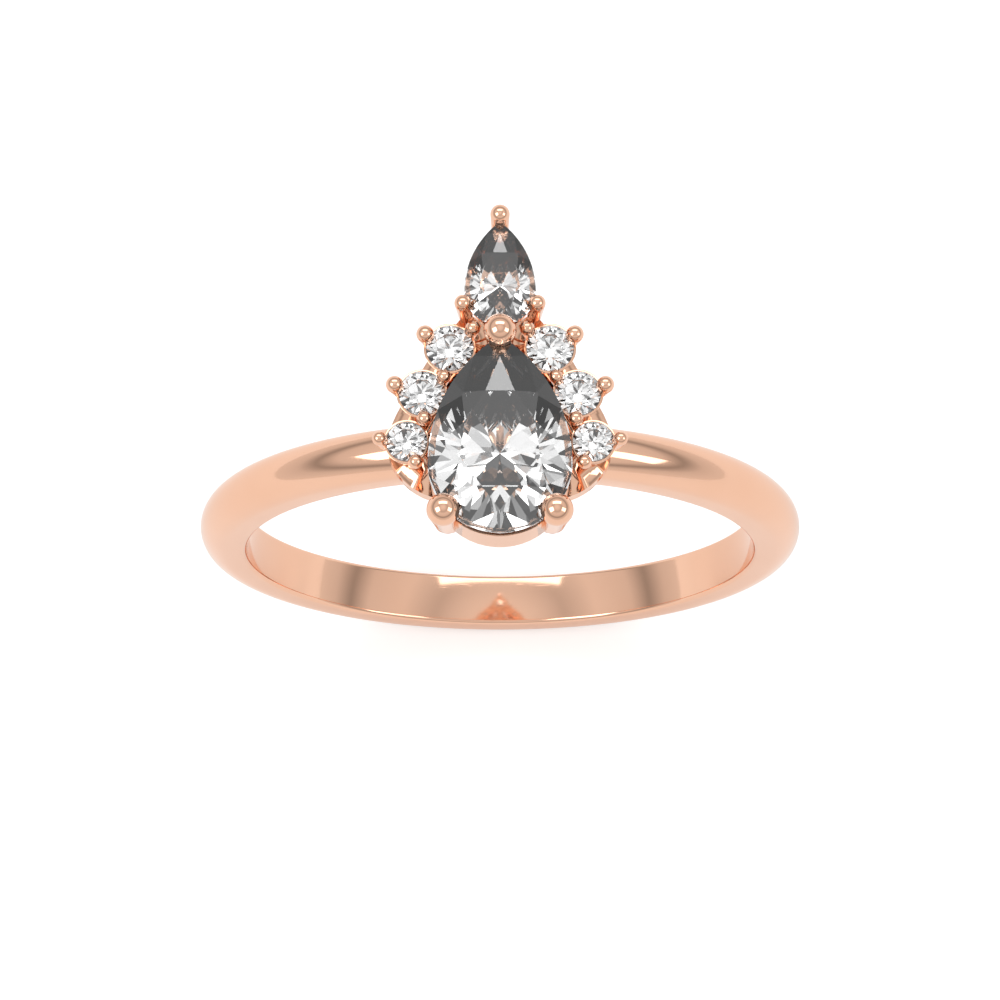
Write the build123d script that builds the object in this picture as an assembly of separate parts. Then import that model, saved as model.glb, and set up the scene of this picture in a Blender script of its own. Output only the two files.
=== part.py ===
from build123d import *
import math
import os

os.makedirs("parts", exist_ok=True)

# Engagement ring, millimetres.  The finger passes along Y through the origin, the head points to +Z
# and the point of the pear-shaped centre stone points to +Y.

# Shank: a closed band, flat towards the finger, with upright walls and a half-round dome outside.
finger_radius = 8.65
band_width = 1.76
band_thickness = 1.57
band_flat = 1.48

# Proportions that all the brilliant-cut stones share, as fractions of the stone's width.
table_share = 0.56
crown_share = 0.14
girdle_share = 0.03
pavilion_share = 0.43
star_length = 0.5
lower_half_length = 0.76
culet_shift = 0.1

# Centre stone: a pear, its round end towards -Y.  Heights are counted from the top of the band.
centre_width = 4.69
centre_round_y = -1.507
centre_point_y = 2.84
centre_girdle_height = 2.38
centre_mains = 8

# Crown stone: a smaller pear beyond the point of the centre stone.
crown_width = 2.34
crown_round_y = 4.43
crown_point_y = 6.82
crown_girdle_height = 2.18
crown_mains = 8

# Side stones: round brilliants that step down each flank of the centre stone: x, y and diameter.
side_girdle_height = 1.88
side_mains = 8
side_places = {
    "upper": (1.636, 2.574, 1.56),
    "middle": (2.537, 1.028, 1.52),
    "lower": (3.026, -0.608, 1.36),
}

# Centre prongs: wires with round heads, bent inwards below the gallery rail.
centre_head_rise = 0.3
centre_head_radius = 0.54
centre_wire_radius = 0.4
centre_knee_drop = 1.0
centre_knee_inset = 0.08
centre_claw = 0.125
centre_claw_angle = 41.9
tip_claw = 0.1

# Rails of the centre setting.  The gallery rail lies under the girdle, drawn in on the flanks and
# moved out at the round end; the base rail sits astride the band and takes the roots of the prongs.
gallery_inset = 0.095
gallery_shift = 0.173
gallery_point_inset = 0.29
gallery_drop = 0.15
gallery_height = 1.25
gallery_wall = 0.42
base_half_width = 1.4
base_round_y = -1.2
base_point_y = 1.75
base_wall = 0.42
base_height = 1.2
saddle_depth = 0.62

# Crown setting: the small pear's prongs, its bearing rail and its base rail.
crown_head_rise = 0.2
crown_head_radius = 0.275
crown_tip_head_radius = 0.32
crown_root_radius = 0.22
crown_claw = 0.134
crown_claw_angle = 21.3
crown_tip_claw = 0.2
crown_lean = 0.15
crown_gallery_inset = 0.1
crown_gallery_drop = 0.1
crown_gallery_height = 0.45
crown_base_inset = 0.32
crown_wall = 0.3

# Side cups: tapered tubes under the side stones.
cup_rim = 0.08
cup_foot_share = 0.58
cup_wall = 0.14

# Side prongs, by the stone that each one holds: the heading from the stone's centre, the distance
# of the head outside the girdle, and the radius of the head.
side_prongs = {
    "upper_inner": ("upper", 141.1, 0.19, 0.245),
    "upper_outer": ("upper", 26.6, 0.12, 0.29),
    "middle_upper": ("middle", 145.1, 0.113, 0.23),
    "middle_outer": ("middle", 14.1, 0.16, 0.285),
    "middle_lower": ("middle", 265.7, 0.174, 0.245),
    "lower_outer": ("lower", 1.6, 0.218, 0.235),
    "lower_inner": ("lower", 249.5, 0.135, 0.24),
}
side_head_rise = 0.25
side_root_radius = 0.16

# Under-gallery: the curved flat arms that carry the cups, with a light hole under each side stone,
# and the bridge from the centre setting to the crown setting.
arm_width = 1.2
arm_thickness = 0.5
arm_top_height = 0.63
arm_crown_end = (0.62, 3.85)
arm_turn = (2.72, -1.12)
arm_base_end = (1.2, -1.5)
light_hole_radius = 0.26
bridge_width = 0.5

# Heights above the finger's axis.
band_top_z = finger_radius + band_thickness
centre_girdle_z = band_top_z + centre_girdle_height
crown_girdle_z = band_top_z + crown_girdle_height
side_girdle_z = band_top_z + side_girdle_height
arm_top_z = band_top_z + arm_top_height
arm_bottom_z = arm_top_z - arm_thickness
base_bottom_z = band_top_z - saddle_depth


# ---- shank ----

def band_section():
    """The band's section in the YZ plane, on the +Z side of the finger."""
    half_flat = band_flat / 2
    half_width = band_width / 2
    edge = half_width - half_flat
    wall_z = finger_radius + edge
    dome_z = band_top_z - half_width
    inner = Line((-half_flat, finger_radius), (half_flat, finger_radius))
    right_edge = RadiusArc((half_flat, finger_radius), (half_width, wall_z), -edge)
    right_wall = Line((half_width, wall_z), (half_width, dome_z))
    dome = ThreePointArc((half_width, dome_z), (0, band_top_z), (-half_width, dome_z))
    left_wall = Line((-half_width, dome_z), (-half_width, wall_z))
    left_edge = RadiusArc((-half_width, wall_z), (-half_flat, finger_radius), -edge)
    return make_face(Wire([inner, right_edge, right_wall, dome, left_wall, left_edge]))


def make_shank():
    section = Plane.YZ * band_section()
    return revolve(section, axis=Axis.Y, revolution_arc=360)


# ---- outlines ----

class PearOutline:
    """A pear: half a circle at the round end, and two arcs tangent to it that meet at the point."""

    def __init__(self, half_width, round_y, point_y):
        self.half_width = half_width
        self.round_y = round_y
        self.point_y = point_y
        reach = point_y - round_y
        self.side_radius = (reach ** 2 + half_width ** 2) / (2 * half_width)
        self.side_centre_x = self.side_radius - half_width
        self.side_sweep = math.atan2(reach, self.side_centre_x)

    def at(self, turn):
        """The point and the outward normal at a share of the way round, from the round end."""
        half_turn = 2 * min(turn, 1 - turn)
        side = 1 if turn <= 0.5 else -1
        round_length = self.half_width * math.pi / 2
        length = half_turn * (round_length + self.side_radius * self.side_sweep)
        if half_turn > 0.9999:
            return Vector(0, self.point_y), Vector(0, 1)
        if length < round_length:
            angle = length / self.half_width
            normal = Vector(side * math.sin(angle), -math.cos(angle))
            return Vector(0, self.round_y) + normal * self.half_width, normal
        angle = (length - round_length) / self.side_radius
        normal = Vector(side * math.cos(angle), math.sin(angle))
        return Vector(-side * self.side_centre_x, self.round_y) + normal * self.side_radius, normal

    def face(self):
        """The outline as a flat face at z = 0."""
        left = (-self.half_width, self.round_y)
        right = (self.half_width, self.round_y)
        point = (0, self.point_y)
        end = ThreePointArc(left, (0, self.round_y - self.half_width), right)
        half_sweep = self.side_sweep / 2
        side_x = self.side_radius * math.cos(half_sweep) - self.side_centre_x
        side_y = self.round_y + self.side_radius * math.sin(half_sweep)
        right_side = ThreePointArc(right, (side_x, side_y), point)
        left_side = ThreePointArc(point, (-side_x, side_y), left)
        return make_face(Wire([end, right_side, left_side]))

    def inset(self, amount):
        """The same pear, drawn in by an amount all round."""
        ratio = amount / self.half_width
        point_y = self.point_y - (self.point_y - self.round_y) * ratio
        return PearOutline(self.half_width - amount, self.round_y, point_y)


class RoundOutline:
    """A circle about the origin."""

    def __init__(self, radius):
        self.radius = radius

    def at(self, turn):
        normal = Vector(math.cos(2 * math.pi * turn), math.sin(2 * math.pi * turn))
        return normal * self.radius, normal

    def face(self):
        return make_face(Wire([Edge.make_circle(self.radius)]))


# ---- stones ----

def raised(point, z):
    return Vector(point.X, point.Y, z)


def facet(corner_a, corner_b, corner_c, middle):
    """The plane through three corners, facing away from the middle of the stone."""
    normal = (corner_b - corner_a).cross(corner_c - corner_a).normalized()
    if normal.dot(corner_a - middle) < 0:
        normal = normal * -1
    return Plane(origin=corner_a, z_dir=normal)


def height_on(plane, point):
    """The height at which a plane passes over a point of the girdle plane."""
    offset = raised(point, 0) - raised(plane.origin, 0)
    return plane.origin.Z - offset.dot(plane.z_dir) / plane.z_dir.Z


def brilliant_facets(outline, middle, width, mains):
    """The planes of a brilliant cut, girdle at z = 0, without the table.

    Each main facet runs from the girdle to the table or the culet.  The first and the last main lie
    beside the outline's start and its middle, so a pear has an edge, not a facet, at its point.
    """
    girdle = girdle_share * width / 2
    table_z = girdle + crown_share * width
    culet = raised(middle, -girdle - pavilion_share * width)
    star_share = table_share + star_length * (1 - table_share)
    lower_share = 1 - lower_half_length
    corners = []
    crown_planes = []
    pavilion_planes = []
    for index in range(mains):
        point, normal = outline.at((index + 0.5) / mains)
        along = Vector(-normal.Y, normal.X)
        top = raised(point, girdle)
        bottom = raised(point, -girdle)
        table_corner = raised(middle + (point - middle) * table_share, table_z)
        corners.append((point, table_corner))
        crown_planes.append(facet(table_corner, top, top + along, middle))
        pavilion_planes.append(facet(culet, bottom, bottom + along, middle))
    planes = crown_planes + pavilion_planes
    for index in range(mains):
        following = (index + 1) % mains
        between, _ = outline.at(following / mains)
        point, table_corner = corners[index]
        next_point, next_table_corner = corners[following]
        star = middle + (between - middle) * star_share
        star_z = min(height_on(crown_planes[index], star), height_on(crown_planes[following], star))
        star = raised(star, star_z)
        lower = middle + (between - middle) * lower_share
        lower_z = max(height_on(pavilion_planes[index], lower),
                      height_on(pavilion_planes[following], lower))
        lower = raised(lower, lower_z)
        planes.append(facet(table_corner, next_table_corner, star, middle))
        for end in (point, next_point):
            planes.append(facet(star, raised(end, girdle), raised(between, girdle), middle))
            planes.append(facet(lower, raised(end, -girdle), raised(between, -girdle), middle))
    return planes


def cut_stone(outline, middle, width, mains):
    """A rough of the girdle's outline, ground down facet by facet to a brilliant cut."""
    girdle = girdle_share * width / 2
    table_z = girdle + crown_share * width
    depth = girdle + pavilion_share * width
    stone = Pos(0, 0, -depth) * extrude(outline.face(), amount=depth + table_z)
    for plane in brilliant_facets(outline, middle, width, mains):
        stone = split(stone, bisect_by=plane, keep=Keep.BOTTOM)
    return stone


# ---- wires, rails and cups ----

def prong(root, head, wire_radius, head_radius, knee=None):
    """A wire with a round head: tapered and straight above, bent to its root below the knee."""
    foot = root if knee is None else knee
    rise = head - foot
    stem = Plane(origin=foot, z_dir=rise) * Cone(wire_radius, head_radius, rise.length,
                                                 align=(Align.CENTER, Align.CENTER, Align.MIN))
    wire = stem + Pos(*head) * Sphere(head_radius)
    if knee is not None:
        bend = TangentArc(knee, root, tangent=rise * -1)
        wire += sweep(Plane(origin=knee, z_dir=rise * -1) * Circle(wire_radius), path=bend)
    return wire


def rail(outline, wall, bottom_z, top_z):
    """A flat-walled ring that follows an outline."""
    ring = outline.face() - outline.inset(wall).face()
    return Pos(0, 0, bottom_z) * extrude(ring, amount=top_z - bottom_z)


def polar(centre, angle, distance, z):
    """A point at a heading and a distance from a centre."""
    x = centre[0] + distance * math.cos(math.radians(angle))
    y = centre[1] + distance * math.sin(math.radians(angle))
    return Vector(x, y, z)


def cup(diameter, foot_z, rim_z):
    """A tapered tube, its rim at the girdle of its stone."""
    rim_radius = diameter / 2 + cup_rim
    foot_radius = rim_radius * cup_foot_share
    height = rim_z - foot_z
    outer = Pos(0, 0, foot_z) * Cone(foot_radius, rim_radius, height,
                                     align=(Align.CENTER, Align.CENTER, Align.MIN))
    inner = Pos(0, 0, foot_z) * Cone(foot_radius - cup_wall, rim_radius - cup_wall, height,
                                     align=(Align.CENTER, Align.CENTER, Align.MIN))
    return outer - inner


# ---- the ring ----

def stones():
    """Every stone by its node name."""
    centre_middle = Vector(0, centre_round_y + culet_shift * centre_width)
    crown_middle = Vector(0, crown_round_y + culet_shift * crown_width)
    centre = cut_stone(centre_outline, centre_middle, centre_width, centre_mains)
    crown = cut_stone(crown_outline, crown_middle, crown_width, crown_mains)
    cut = {
        "centre_stone": Pos(0, 0, centre_girdle_z) * centre,
        "crown_stone": Pos(0, 0, crown_girdle_z) * crown,
    }
    unit = cut_stone(RoundOutline(0.5), Vector(0, 0), 1, side_mains)
    for name, (x, y, diameter) in side_places.items():
        right = Pos(x, y, side_girdle_z) * scale(unit, by=diameter)
        cut[f"side_stone_right_{name}"] = right
        cut[f"side_stone_left_{name}"] = mirror(right, about=Plane.YZ)
    return cut


def centre_prongs():
    head_z = centre_girdle_z + centre_head_rise
    knee_z = centre_girdle_z - centre_knee_drop
    reach = centre_width / 2 + centre_claw
    root_z = base_bottom_z + centre_wire_radius
    root_reach = base_half_width - base_wall / 2
    head = polar((0, centre_round_y), -centre_claw_angle, reach, head_z)
    knee = polar((0, centre_round_y), -centre_claw_angle, reach - centre_knee_inset, knee_z)
    root = polar((0, base_round_y), -centre_claw_angle, root_reach, root_z)
    right = prong(root, head, centre_wire_radius, centre_head_radius, knee)
    tip_head = Vector(0, centre_point_y + tip_claw, head_z)
    tip_knee = Vector(0, centre_point_y + tip_claw - centre_knee_inset, knee_z)
    tip_root = Vector(0, base_point_y - base_wall / 2, root_z)
    return {
        "centre_prong_right": right,
        "centre_prong_left": mirror(right, about=Plane.YZ),
        "centre_prong_tip": prong(tip_root, tip_head, centre_wire_radius, centre_head_radius, tip_knee),
    }


def crown_prongs():
    head_z = crown_girdle_z + crown_head_rise
    reach = crown_width / 2 + crown_claw
    head = polar((0, crown_round_y), -crown_claw_angle, reach, head_z)
    root = polar((0, crown_round_y), -crown_claw_angle, reach - crown_lean, arm_bottom_z)
    right = prong(root, head, crown_root_radius, crown_head_radius)
    tip_head = Vector(0, crown_point_y + crown_tip_claw, head_z)
    tip_root = Vector(0, crown_base_outline.point_y, arm_bottom_z)
    return {
        "crown_prong_right": right,
        "crown_prong_left": mirror(right, about=Plane.YZ),
        "crown_prong_tip": prong(tip_root, tip_head, crown_root_radius, crown_tip_head_radius),
    }


def side_prong_pairs():
    wires = {}
    for name, (stone, heading, claw, head_radius) in side_prongs.items():
        x, y, diameter = side_places[stone]
        foot_radius = (diameter / 2 + cup_rim) * cup_foot_share
        head = polar((x, y), heading, diameter / 2 + claw, side_girdle_z + side_head_rise)
        root = polar((x, y), heading, foot_radius, arm_top_z + side_root_radius)
        right = prong(root, head, side_root_radius, head_radius)
        wires[f"side_prong_right_{name}"] = right
        wires[f"side_prong_left_{name}"] = mirror(right, about=Plane.YZ)
    return wires


def rails():
    gallery = PearOutline(centre_width / 2 - gallery_inset, centre_round_y - gallery_shift,
                          centre_point_y - gallery_point_inset)
    gallery_top_z = centre_girdle_z - gallery_drop
    base = PearOutline(base_half_width, base_round_y, base_point_y)
    crown_top_z = crown_girdle_z - crown_gallery_drop
    return {
        "centre_gallery_rail": rail(gallery, gallery_wall, gallery_top_z - gallery_height, gallery_top_z),
        "centre_base_rail": rail(base, base_wall, base_bottom_z, base_bottom_z + base_height),
        "crown_gallery_rail": rail(crown_outline.inset(crown_gallery_inset), crown_wall,
                                   crown_top_z - crown_gallery_height, crown_top_z),
        "crown_base_rail": rail(crown_base_outline, crown_wall, arm_bottom_z, arm_top_z),
    }


def side_cups():
    cups = {}
    for name, (x, y, diameter) in side_places.items():
        right = Pos(x, y) * cup(diameter, arm_top_z, side_girdle_z - girdle_share * diameter / 2)
        cups[f"side_cup_right_{name}"] = right
        cups[f"side_cup_left_{name}"] = mirror(right, about=Plane.YZ)
    return cups


def cluster_arms():
    cup_centres = [(x, y) for x, y, _ in side_places.values()]
    path = Spline(arm_crown_end, *cup_centres, arm_turn, arm_base_end)
    outline = trace(path, arm_width)
    for centre in cup_centres:
        outline -= Pos(*centre) * Circle(light_hole_radius)
    right = Pos(0, 0, arm_bottom_z) * extrude(outline, amount=arm_thickness)
    return {
        "cluster_arm_right": right,
        "cluster_arm_left": mirror(right, about=Plane.YZ),
    }


def crown_bridge():
    start = (base_point_y + centre_point_y) / 2
    end = crown_base_outline.round_y - crown_base_outline.half_width + crown_wall / 2
    bar = Box(bridge_width, end - start, arm_thickness, align=(Align.CENTER, Align.MIN, Align.MIN))
    return {"crown_bridge": Pos(0, start, arm_bottom_z) * bar}


def fitted(pieces, cutters):
    """Each piece with the room that its neighbours take cut out of it, so that they meet face to face."""
    result = {}
    for name, piece in pieces.items():
        box = piece.bounding_box()
        for cutter in cutters.values():
            if box.overlaps(cutter.bounding_box()):
                piece = piece - cutter
        result[name] = piece
    return result


centre_outline = PearOutline(centre_width / 2, centre_round_y, centre_point_y)
crown_outline = PearOutline(crown_width / 2, crown_round_y, crown_point_y)
crown_base_outline = crown_outline.inset(crown_base_inset)


def build_ring():
    ring = {"shank": make_shank()}
    gems = stones()
    wires = fitted({**centre_prongs(), **crown_prongs(), **side_prong_pairs()}, gems)
    ring.update(gems)
    ring.update(wires)
    ring.update(fitted(rails(), ring))
    ring.update(fitted(side_cups(), ring))
    ring.update(fitted(cluster_arms(), ring))
    ring.update(fitted(crown_bridge(), ring))
    return ring


for node, solid in build_ring().items():
    export_step(solid, f"parts/{node}.step")
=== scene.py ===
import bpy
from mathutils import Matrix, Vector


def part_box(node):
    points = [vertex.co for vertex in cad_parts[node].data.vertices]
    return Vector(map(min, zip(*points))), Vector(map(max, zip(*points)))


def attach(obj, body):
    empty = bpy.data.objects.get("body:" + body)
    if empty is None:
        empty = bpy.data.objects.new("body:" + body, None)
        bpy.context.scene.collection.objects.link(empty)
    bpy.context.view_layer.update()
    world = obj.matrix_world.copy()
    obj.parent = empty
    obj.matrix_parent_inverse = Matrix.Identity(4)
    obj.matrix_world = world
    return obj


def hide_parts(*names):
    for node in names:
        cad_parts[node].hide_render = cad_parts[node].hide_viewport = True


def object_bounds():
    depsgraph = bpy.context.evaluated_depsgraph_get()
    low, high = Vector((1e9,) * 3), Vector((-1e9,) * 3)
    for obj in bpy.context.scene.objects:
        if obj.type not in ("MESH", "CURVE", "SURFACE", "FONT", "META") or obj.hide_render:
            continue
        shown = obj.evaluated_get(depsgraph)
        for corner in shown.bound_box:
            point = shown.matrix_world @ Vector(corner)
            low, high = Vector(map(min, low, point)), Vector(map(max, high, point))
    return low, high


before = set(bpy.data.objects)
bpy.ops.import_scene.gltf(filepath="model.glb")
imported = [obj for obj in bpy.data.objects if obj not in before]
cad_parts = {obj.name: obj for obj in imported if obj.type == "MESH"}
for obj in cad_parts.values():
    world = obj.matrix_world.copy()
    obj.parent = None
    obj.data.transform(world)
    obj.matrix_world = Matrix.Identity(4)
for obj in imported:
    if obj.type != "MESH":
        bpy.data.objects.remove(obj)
cad_box = [list(map(float, corner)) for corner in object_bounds()]

import bmesh
import bpy
import math
from mathutils import Vector

# Engagement ring on a white table.  Lengths are in metres and angles in degrees.
MM = 0.001

# ---- camera ----
CAMERA_DISTANCE = 0.240
CAMERA_ELEVATION = 73.44
CAMERA_LENS = 253.07
CAMERA_SENSOR = 36.0
CAMERA_SHIFT = 0.0297

# ---- shank ----
BORE_RADIUS = 8.65 * MM
SHANK_EDGE_RADIUS = 0.14 * MM
SHANK_STEPS = 320
DOME_STEPS = 36
EDGE_STEPS = 5

# ---- cups under the side stones ----
CUP_RIM = 0.08 * MM
CUP_WALL = 0.14 * MM
CUP_FOOT_SHARE = 0.58
CUP_STEPS = 72

# ---- edges ----
RIM_ROUNDING = 0.035 * MM
SMOOTH_ANGLE = 38.0
JOIN_DISTANCE = 0.001 * MM

# ---- table and studio ----
FLOOR_SIZE = 0.6
FLOOR_TOP_UP = 0.36
FLOOR_TOP_UP_MIRRORED = 0.12
FLOOR_GREY = (0.8, 0.8, 0.8, 1)
WHITE = (1, 1, 1, 1)
# Greys of the room by height, and of the panels that the stones see, by the value of a noise.
ROOM_LEVELS = ((0.0, 0.8), (0.15, 0.7), (0.3, 0.35), (0.45, 0.75), (0.7, 0.85), (0.86, 0.6), (1.0, 0.95))
PANEL_SCALE = 4.5
PANEL_LEVELS = ((0.36, 0.03), (0.44, 0.35), (0.48, 1.0), (0.54, 1.25), (0.58, 0.5), (0.64, 1.3))
SOFTBOX_DISTANCE = 0.5
# Each soft box: azimuth, elevation, width and height in metres, and power.
SOFTBOXES = {
    "softbox_left": (70, 50, (0.25, 0.25), 0.55),
    "softbox_right": (-75, 40, (0.2, 0.25), 0.3),
    "softbox_back": (180, 55, (0.5, 0.18), 0.6),
}

# ---- colours, linear ----
GOLD = (0.92, 0.575, 0.41, 1.0)
GOLD_DEEP = (0.88, 0.52, 0.355, 1.0)
GIRDLE_GREY = (0.86, 0.87, 0.88, 1.0)

# ---- finish of the gold and the stones ----
CLOUD_SCALE = 420.0
SCRATCH_SCALE = 1500.0
SCRATCH_TURN = (0.3, 0.5, 0.7)
SCRATCH_STRETCH = (1.0, 12.0, 1.0)
SCRATCH_FROM = 0.62
SCRATCH_TO = 0.75
SCRATCH_HEIGHT = 0.002 * MM
DIAMOND_IOR = 2.42
GIRDLE_ROUGHNESS = 0.3
GIRDLE_SLOPE = 0.05


# ---- pieces ----

def stand_for(mesh, node, material):
    """Puts a finished gold mesh in the place of a CAD node."""
    piece = bpy.data.objects.new("polished_" + node, mesh)
    bpy.context.scene.collection.objects.link(piece)
    mesh.materials.clear()
    mesh.materials.append(material)
    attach(piece, "root")
    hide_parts(node)


def smooth(mesh):
    """Smooth shading, with the edges past the smooth angle kept sharp."""
    mesh.shade_smooth()
    mesh.set_sharp_from_angle(angle=math.radians(SMOOTH_ANGLE))


def ring_mesh(name, rows):
    """A closed skin over rows of points: each row is a closed ring, and the last row joins the first."""
    count = len(rows[0])
    vertices = [point for row in rows for point in row]
    faces = []
    for row in range(len(rows)):
        following = (row + 1) % len(rows)
        for step in range(count):
            after = (step + 1) % count
            faces.append((row * count + step, row * count + after,
                          following * count + after, following * count + step))
    mesh = bpy.data.meshes.new(name)
    mesh.from_pydata(vertices, [], faces)
    shape = bmesh.new()
    shape.from_mesh(mesh)
    bmesh.ops.recalc_face_normals(shape, faces=shape.faces)
    shape.to_mesh(mesh)
    shape.free()
    smooth(mesh)
    return mesh


def arc_points(centre, radius, start, end, steps):
    """Points (across, up) on an arc, its angles in degrees."""
    points = []
    for step in range(steps + 1):
        angle = math.radians(start + (end - start) * step / steps)
        points.append((centre[0] + radius * math.cos(angle), centre[1] + radius * math.sin(angle)))
    return points


def make_shank(material):
    """The band: a flat inner face, rounded edges, upright walls and a half-round dome, turned about Y."""
    low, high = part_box("shank")
    half_width = (high[1] - low[1]) / 2
    dome_height = high[2] - half_width
    edge = SHANK_EDGE_RADIUS
    section = arc_points((0, dome_height), half_width, 0, 180, DOME_STEPS)
    section += arc_points((-half_width + edge, BORE_RADIUS + edge), edge, 180, 270, EDGE_STEPS)
    section += arc_points((half_width - edge, BORE_RADIUS + edge), edge, 270, 360, EDGE_STEPS)
    rows = []
    for step in range(SHANK_STEPS):
        turn = 2 * math.pi * step / SHANK_STEPS
        rows.append([(reach * math.sin(turn), across, reach * math.cos(turn)) for across, reach in section])
    stand_for(ring_mesh("shank", rows), "shank", material)


def make_cup(node, stone, material):
    """A tapered tube with softened rims under a round stone."""
    low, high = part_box(stone)
    middle = (Vector(low) + Vector(high)) / 2
    cup_low, cup_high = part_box(node)
    rim = (high[0] - low[0]) / 2 + CUP_RIM
    foot = rim * CUP_FOOT_SHARE
    soft = RIM_ROUNDING
    slope = (rim - foot) / (cup_high[2] - cup_low[2])
    section = [
        (foot + soft * slope, cup_low[2] + soft), (rim - soft * slope, cup_high[2] - soft),
        (rim - soft * 0.3, cup_high[2] - soft * 0.3), (rim - soft, cup_high[2]),
        (rim - CUP_WALL + soft, cup_high[2]), (rim - CUP_WALL, cup_high[2] - soft),
        (foot - CUP_WALL, cup_low[2] + soft), (foot - CUP_WALL + soft, cup_low[2]),
        (foot - soft, cup_low[2]),
    ]
    rows = []
    for step in range(CUP_STEPS):
        turn = 2 * math.pi * step / CUP_STEPS
        rows.append([(middle.x + radius * math.cos(turn), middle.y + radius * math.sin(turn), height)
                     for radius, height in section])
    stand_for(ring_mesh(node, rows), node, material)


def smoothed_copy(node, material):
    """A copy of a CAD node, joined up and shaded smooth on its round walls."""
    shape = bmesh.new()
    shape.from_mesh(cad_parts[node].data)
    bmesh.ops.remove_doubles(shape, verts=shape.verts, dist=JOIN_DISTANCE)
    mesh = bpy.data.meshes.new(node)
    shape.to_mesh(mesh)
    shape.free()
    smooth(mesh)
    stand_for(mesh, node, material)


# ---- finishes ----

def new_material(name):
    material = bpy.data.materials.new(name)
    material.use_nodes = True
    material.node_tree.nodes.clear()
    return material, material.node_tree.nodes, material.node_tree.links


def polish_group():
    """Hand polish: cloudy buffing marks and hair-fine scratches, as a mask and a height."""
    group = bpy.data.node_groups.new("hand_polish", "ShaderNodeTree")
    group.interface.new_socket("Cloud Scale", in_out="INPUT", socket_type="NodeSocketFloat")
    group.interface.new_socket("Scratch Scale", in_out="INPUT", socket_type="NodeSocketFloat")
    group.interface.new_socket("Cloud", in_out="OUTPUT", socket_type="NodeSocketFloat")
    group.interface.new_socket("Scratch", in_out="OUTPUT", socket_type="NodeSocketFloat")
    nodes, links = group.nodes, group.links
    inputs = nodes.new("NodeGroupInput")
    outputs = nodes.new("NodeGroupOutput")
    coordinates = nodes.new("ShaderNodeTexCoord")
    cloud = nodes.new("ShaderNodeTexNoise")
    cloud.inputs["Detail"].default_value = 3.0
    links.new(coordinates.outputs["Object"], cloud.inputs["Vector"])
    links.new(inputs.outputs["Cloud Scale"], cloud.inputs["Scale"])
    stretch = nodes.new("ShaderNodeMapping")
    stretch.inputs["Rotation"].default_value = SCRATCH_TURN
    stretch.inputs["Scale"].default_value = SCRATCH_STRETCH
    links.new(coordinates.outputs["Object"], stretch.inputs["Vector"])
    scratch = nodes.new("ShaderNodeTexNoise")
    scratch.inputs["Detail"].default_value = 2.0
    links.new(stretch.outputs["Vector"], scratch.inputs["Vector"])
    links.new(inputs.outputs["Scratch Scale"], scratch.inputs["Scale"])
    ridge = nodes.new("ShaderNodeMapRange")
    ridge.inputs["From Min"].default_value = SCRATCH_FROM
    ridge.inputs["From Max"].default_value = SCRATCH_TO
    links.new(scratch.outputs["Fac"], ridge.inputs["Value"])
    links.new(cloud.outputs["Fac"], outputs.inputs["Cloud"])
    links.new(ridge.outputs["Result"], outputs.inputs["Scratch"])
    return group


def gold_material(name, group, smoothest, dullest, scratch_depth):
    """Polished rose gold: two close tones, and roughness and scratches from the hand polish."""
    material, nodes, links = new_material(name)
    polish = nodes.new("ShaderNodeGroup")
    polish.node_tree = group
    polish.inputs["Cloud Scale"].default_value = CLOUD_SCALE
    polish.inputs["Scratch Scale"].default_value = SCRATCH_SCALE
    tone = nodes.new("ShaderNodeMix")
    tone.data_type = "RGBA"
    tone.inputs["A"].default_value = GOLD
    tone.inputs["B"].default_value = GOLD_DEEP
    links.new(polish.outputs["Cloud"], tone.inputs["Factor"])
    rough = nodes.new("ShaderNodeMapRange")
    rough.inputs["To Min"].default_value = smoothest
    rough.inputs["To Max"].default_value = dullest
    links.new(polish.outputs["Cloud"], rough.inputs["Value"])
    bump = nodes.new("ShaderNodeBump")
    bump.inputs["Strength"].default_value = scratch_depth
    bump.inputs["Distance"].default_value = SCRATCH_HEIGHT
    links.new(polish.outputs["Scratch"], bump.inputs["Height"])
    shader = nodes.new("ShaderNodeBsdfPrincipled")
    shader.inputs["Metallic"].default_value = 1.0
    links.new(tone.outputs["Result"], shader.inputs["Base Color"])
    links.new(rough.outputs["Result"], shader.inputs["Roughness"])
    links.new(bump.outputs["Normal"], shader.inputs["Normal"])
    output = nodes.new("ShaderNodeOutputMaterial")
    links.new(shader.outputs[0], output.inputs["Surface"])
    return material


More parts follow.
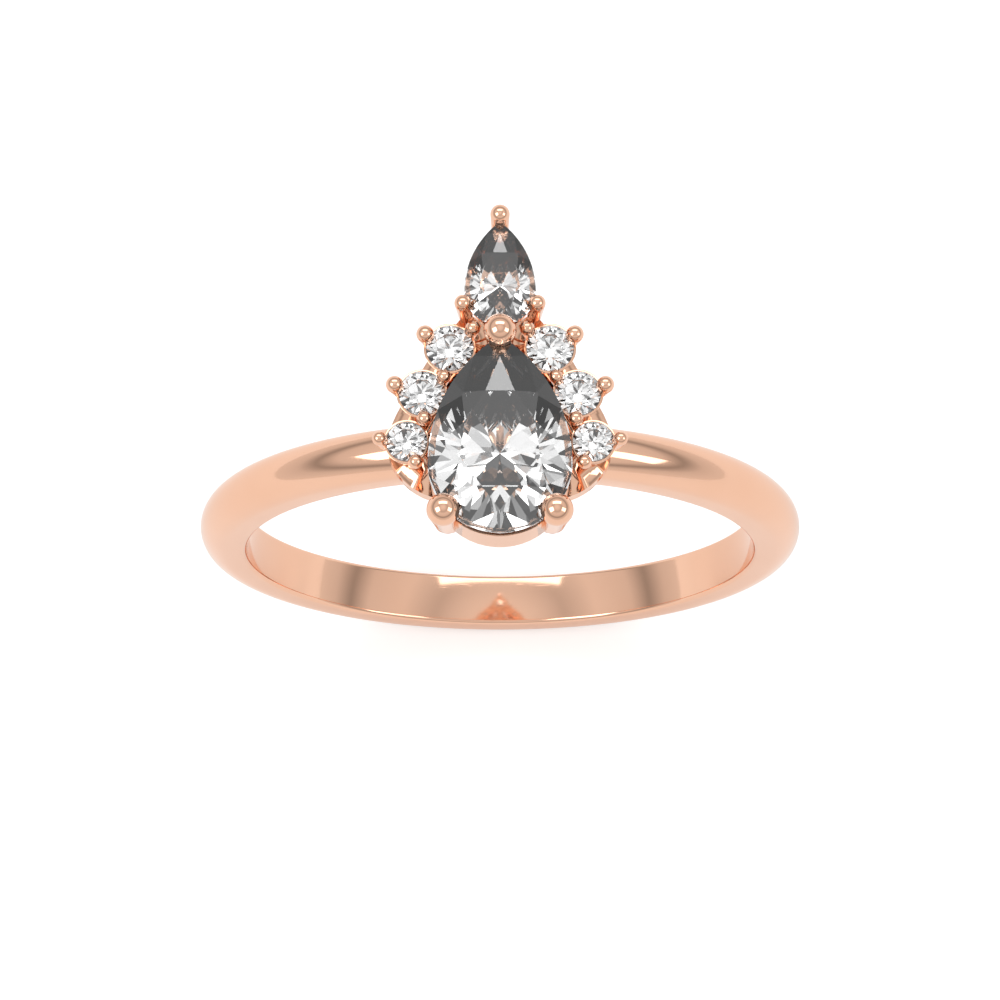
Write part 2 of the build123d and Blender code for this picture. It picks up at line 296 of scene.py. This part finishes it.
def diamond_material():
    """Polished facets, with the frosted, slightly grey girdle that a cutter leaves."""
    material, nodes, links = new_material("cut_diamond")
    geometry = nodes.new("ShaderNodeNewGeometry")
    split = nodes.new("ShaderNodeSeparateXYZ")
    links.new(geometry.outputs["True Normal"], split.inputs["Vector"])
    upright = nodes.new("ShaderNodeMath")
    upright.operation = "ABSOLUTE"
    links.new(split.outputs["Z"], upright.inputs[0])
    girdle = nodes.new("ShaderNodeMath")
    girdle.operation = "LESS_THAN"
    girdle.inputs[1].default_value = GIRDLE_SLOPE
    links.new(upright.outputs["Value"], girdle.inputs[0])
    rough = nodes.new("ShaderNodeMapRange")
    rough.inputs["To Max"].default_value = GIRDLE_ROUGHNESS
    links.new(girdle.outputs["Value"], rough.inputs["Value"])
    tint = nodes.new("ShaderNodeMix")
    tint.data_type = "RGBA"
    tint.inputs["A"].default_value = WHITE
    tint.inputs["B"].default_value = GIRDLE_GREY
    links.new(girdle.outputs["Value"], tint.inputs["Factor"])
    shader = nodes.new("ShaderNodeBsdfPrincipled")
    shader.inputs["Metallic"].default_value = 0.0
    shader.inputs["IOR"].default_value = DIAMOND_IOR
    shader.inputs["Transmission Weight"].default_value = 1.0
    links.new(tint.outputs["Result"], shader.inputs["Base Color"])
    links.new(rough.outputs["Result"], shader.inputs["Roughness"])
    output = nodes.new("ShaderNodeOutputMaterial")
    links.new(shader.outputs[0], output.inputs["Surface"])
    return material


# ---- studio ----

def floor_material():
    """White paper: lit for the shadow, and topped up where it is seen, mirrored or seen through a stone."""
    material, nodes, links = new_material("floor_white")
    diffuse = nodes.new("ShaderNodeBsdfDiffuse")
    diffuse.inputs["Color"].default_value = FLOOR_GREY
    path = nodes.new("ShaderNodeLightPath")
    mirrored = nodes.new("ShaderNodeMath")
    mirrored.operation = "MULTIPLY"
    mirrored.inputs[1].default_value = FLOOR_TOP_UP_MIRRORED
    links.new(path.outputs["Is Glossy Ray"], mirrored.inputs[0])
    seen = nodes.new("ShaderNodeMath")
    seen.operation = "MAXIMUM"
    links.new(path.outputs["Is Camera Ray"], seen.inputs[0])
    links.new(path.outputs["Is Transmission Ray"], seen.inputs[1])
    level = nodes.new("ShaderNodeMath")
    level.operation = "MULTIPLY_ADD"
    level.inputs[1].default_value = FLOOR_TOP_UP
    links.new(seen.outputs[0], level.inputs[0])
    links.new(mirrored.outputs[0], level.inputs[2])
    glow = nodes.new("ShaderNodeEmission")
    links.new(level.outputs[0], glow.inputs["Strength"])
    add = nodes.new("ShaderNodeAddShader")
    output = nodes.new("ShaderNodeOutputMaterial")
    links.new(diffuse.outputs[0], add.inputs[0])
    links.new(glow.outputs[0], add.inputs[1])
    links.new(add.outputs[0], output.inputs["Surface"])
    return material


def add_floor():
    bottom = cad_box[0][2]
    half = FLOOR_SIZE / 2
    mesh = bpy.data.meshes.new("floor")
    corners = [(-half, -half, bottom), (half, -half, bottom), (half, half, bottom), (-half, half, bottom)]
    mesh.from_pydata(corners, [], [(0, 1, 2, 3)])
    mesh.materials.append(floor_material())
    floor = bpy.data.objects.new("floor", mesh)
    bpy.context.scene.collection.objects.link(floor)


def add_softbox(name, azimuth, elevation, size, power):
    """A soft box that faces the ring.  Azimuth 0 is at -Y, and 90 at -X."""
    light = bpy.data.lights.new(name, "AREA")
    light.shape = "RECTANGLE"
    light.size, light.size_y = size
    light.energy = power
    holder = bpy.data.objects.new(name, light)
    bpy.context.scene.collection.objects.link(holder)
    turn = math.radians(azimuth)
    lift = math.radians(elevation)
    direction = Vector((-math.sin(turn) * math.cos(lift), -math.cos(turn) * math.cos(lift), math.sin(lift)))
    holder.location = direction * SOFTBOX_DISTANCE
    holder.rotation_euler = direction.to_track_quat("Z", "Y").to_euler()


def grey_ramp(nodes, levels):
    """A colour ramp of greys from (place, level) pairs."""
    ramp = nodes.new("ShaderNodeValToRGB")
    stops = ramp.color_ramp.elements
    stops[0].position, first = levels[0]
    stops[0].color = (first, first, first, 1)
    stops[1].position, last = levels[-1]
    stops[1].color = (last, last, last, 1)
    for place, level in levels[1:-1]:
        stops.new(place).color = (level, level, level, 1)
    return ramp


def add_world():
    """A pale studio with one darker belt; cut stones see it broken up by frames, flags and panels."""
    world = bpy.data.worlds.new("studio")
    bpy.context.scene.world = world
    world.use_nodes = True
    nodes, links = world.node_tree.nodes, world.node_tree.links
    background = nodes["Background"]
    coordinates = nodes.new("ShaderNodeTexCoord")
    split = nodes.new("ShaderNodeSeparateXYZ")
    links.new(coordinates.outputs["Generated"], split.inputs["Vector"])
    room = grey_ramp(nodes, ROOM_LEVELS)
    links.new(split.outputs["Z"], room.inputs["Fac"])
    panels = nodes.new("ShaderNodeTexNoise")
    panels.inputs["Scale"].default_value = PANEL_SCALE
    panels.inputs["Detail"].default_value = 1.0
    links.new(coordinates.outputs["Generated"], panels.inputs["Vector"])
    panel_ramp = grey_ramp(nodes, PANEL_LEVELS)
    links.new(panels.outputs["Fac"], panel_ramp.inputs["Fac"])
    path = nodes.new("ShaderNodeLightPath")
    lit = nodes.new("ShaderNodeMix")
    lit.data_type = "RGBA"
    links.new(path.outputs["Is Transmission Ray"], lit.inputs["Factor"])
    links.new(room.outputs["Color"], lit.inputs["A"])
    links.new(panel_ramp.outputs["Color"], lit.inputs["B"])
    shown = nodes.new("ShaderNodeMix")
    shown.data_type = "RGBA"
    shown.inputs["B"].default_value = WHITE
    links.new(path.outputs["Is Camera Ray"], shown.inputs["Factor"])
    links.new(lit.outputs["Result"], shown.inputs["A"])
    links.new(shown.outputs["Result"], background.inputs["Color"])


def add_camera():
    camera = bpy.data.cameras.new("camera")
    camera.lens = CAMERA_LENS
    camera.sensor_width = CAMERA_SENSOR
    camera.shift_y = CAMERA_SHIFT
    camera.clip_start = 0.01
    camera.clip_end = 10.0
    holder = bpy.data.objects.new("camera", camera)
    bpy.context.scene.collection.objects.link(holder)
    tilt = math.radians(CAMERA_ELEVATION)
    holder.location = (0, -CAMERA_DISTANCE * math.cos(tilt), CAMERA_DISTANCE * math.sin(tilt))
    holder.rotation_euler = (math.pi / 2 - tilt, 0, 0)
    bpy.context.scene.camera = holder


bpy.context.scene.view_settings.view_transform = "Standard"
add_camera()
add_world()
add_floor()
for box_name, settings in SOFTBOXES.items():
    add_softbox(box_name, *settings)

polish = polish_group()
band_gold = gold_material("rose_gold_band", polish, 0.05, 0.12, 0.12)
setting_gold = gold_material("rose_gold_setting", polish, 0.04, 0.09, 0.08)
diamond = diamond_material()

make_shank(band_gold)
for name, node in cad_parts.items():
    if name == "shank":
        continue
    if "stone" in name:
        node.data.materials.clear()
        node.data.materials.append(diamond)
    elif "cup" in name:
        make_cup(name, name.replace("cup", "stone"), setting_gold)
    else:
        smoothed_copy(name, setting_gold)
